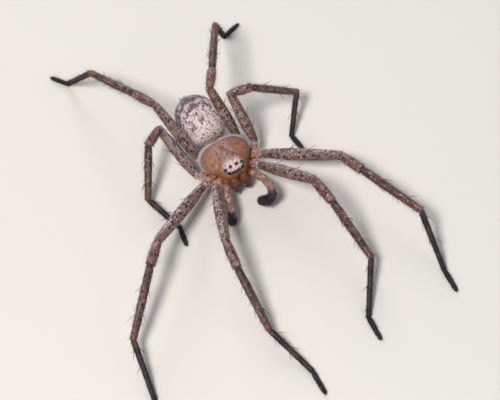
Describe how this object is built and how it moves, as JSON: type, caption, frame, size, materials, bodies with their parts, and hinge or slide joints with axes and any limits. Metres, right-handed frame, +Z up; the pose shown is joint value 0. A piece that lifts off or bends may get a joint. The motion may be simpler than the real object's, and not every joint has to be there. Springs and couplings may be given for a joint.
{
  "type": "huntsman spider",
  "caption": "Still life-size huntsman spider standing on long, spread, spiny legs, with small round eyes, jaws, feeler-like palps and an oval speckled abdomen",
  "frame": {"origin": "on the floor, below the middle of the box round the whole leg span", "axes": "+Z up, the head looks along -Y, the animal's left side is +X; the longest extent, front feet to rear feet, runs along Y"},
  "size_m": [0.0484, 0.0694, 0.0134],
  "materials": {
    "carapace": "satin orange-brown shell with darker flecks and a pink-cream speckled head",
    "underside": "satin pale brown shell with short hair",
    "abdomen": "soft cream-pink skin with dense purple-brown specks and short hair",
    "spinnerets": "matte grey-brown",
    "jaw": "glossy orange-red shell",
    "fang": "glossy near-black",
    "palp": "satin shell, pinkish yellow to dark brown at the tips, with short hair",
    "eye": "glossy black lenses",
    "femur": "satin pinkish grey with many dark specks",
    "tibia": "satin reddish brown with pink and dark bands",
    "metatarsus": "matte dark purple-brown",
    "tarsus": "dark felted hair pad"
  },
  "bodies": {
    "root": {"carapace": "carapace", "sternum": "underside", "pedicel": "underside", "abdomen": "abdomen", "spinnerets": "spinnerets", "chelicera_l": "jaw", "chelicera_r": "jaw", "fang_l": "fang", "fang_r": "fang", "palp_l": "palp", "palp_r": "palp", "eye_ame_l": "eye", "eye_ame_r": "eye", "eye_ale_l": "eye", "eye_ale_r": "eye", "eye_pme_l": "eye", "eye_pme_r": "eye", "eye_ple_l": "eye", "eye_ple_r": "eye", "coxa_l1": "underside", "femur_l1": "femur", "tibia_l1": "tibia", "metatarsus_l1": "metatarsus", "tarsus_l1": "tarsus", "coxa_l2": "underside", "femur_l2": "femur", "tibia_l2": "tibia", "metatarsus_l2": "metatarsus", "tarsus_l2": "tarsus", "coxa_l3": "underside", "femur_l3": "femur", "tibia_l3": "tibia", "metatarsus_l3": "metatarsus", "tarsus_l3": "tarsus", "coxa_l4": "underside", "femur_l4": "femur", "tibia_l4": "tibia", "metatarsus_l4": "metatarsus", "tarsus_l4": "tarsus", "coxa_r1": "underside", "femur_r1": "femur", "tibia_r1": "tibia", "metatarsus_r1": "metatarsus", "tarsus_r1": "tarsus", "coxa_r2": "underside", "femur_r2": "femur", "tibia_r2": "tibia", "metatarsus_r2": "metatarsus", "tarsus_r2": "tarsus", "coxa_r3": "underside", "femur_r3": "femur", "tibia_r3": "tibia", "metatarsus_r3": "metatarsus", "tarsus_r3": "tarsus", "coxa_r4": "underside", "femur_r4": "femur", "tibia_r4": "tibia", "metatarsus_r4": "metatarsus", "tarsus_r4": "tarsus"}
  },
  "joints": []
}
